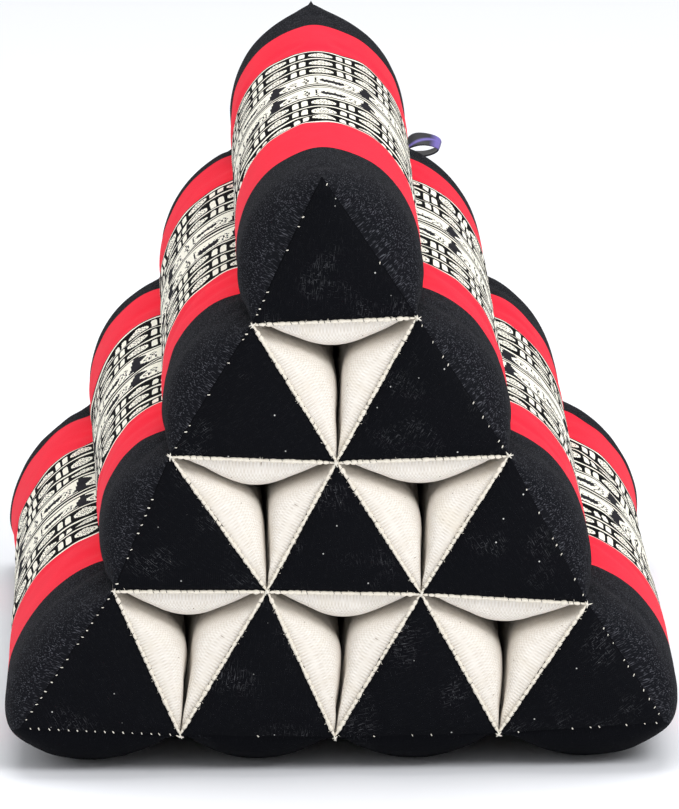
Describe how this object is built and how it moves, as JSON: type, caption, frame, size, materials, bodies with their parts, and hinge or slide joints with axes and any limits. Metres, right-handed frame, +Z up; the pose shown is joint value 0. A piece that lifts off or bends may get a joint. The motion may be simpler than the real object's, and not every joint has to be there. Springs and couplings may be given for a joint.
{
  "type": "thai triangle cushion",
  "caption": "Firm stuffed triangle cushion of stacked three-sided cotton channels, with open holes between them, for leaning on while sitting on the floor.",
  "frame": {"origin": "centre of the bottom of the cushion's bounding box, on the surface it stands on", "axes": "+Y runs along the channels from the front end to the rear end, +Z is up, +X is to the right seen from the front end"},
  "size_m": [0.3514, 0.4986, 0.3172],
  "materials": {
    "channel_cover": "smooth red and black cotton with a band of woven pattern, plain muslin inside the holes",
    "end_cap": "plain black cotton",
    "ribbon": "satin ribbon"
  },
  "bodies": {
    "root": {"channel_row1_1": "channel_cover", "channel_row2_1": "channel_cover", "channel_row2_2": "channel_cover", "channel_row3_1": "channel_cover", "channel_row3_2": "channel_cover", "channel_row3_3": "channel_cover", "channel_row4_1": "channel_cover", "channel_row4_2": "channel_cover", "channel_row4_3": "channel_cover", "channel_row4_4": "channel_cover", "cap_front_row1_1": "end_cap", "cap_front_row2_1": "end_cap", "cap_front_row2_2": "end_cap", "cap_front_row3_1": "end_cap", "cap_front_row3_2": "end_cap", "cap_front_row3_3": "end_cap", "cap_front_row4_1": "end_cap", "cap_front_row4_2": "end_cap", "cap_front_row4_3": "end_cap", "cap_front_row4_4": "end_cap", "cap_rear_row1_1": "end_cap", "cap_rear_row2_1": "end_cap", "cap_rear_row2_2": "end_cap", "cap_rear_row3_1": "end_cap", "cap_rear_row3_2": "end_cap", "cap_rear_row3_3": "end_cap", "cap_rear_row4_1": "end_cap", "cap_rear_row4_2": "end_cap", "cap_rear_row4_3": "end_cap", "cap_rear_row4_4": "end_cap", "ribbon_loop": "ribbon"}
  },
  "joints": []
}
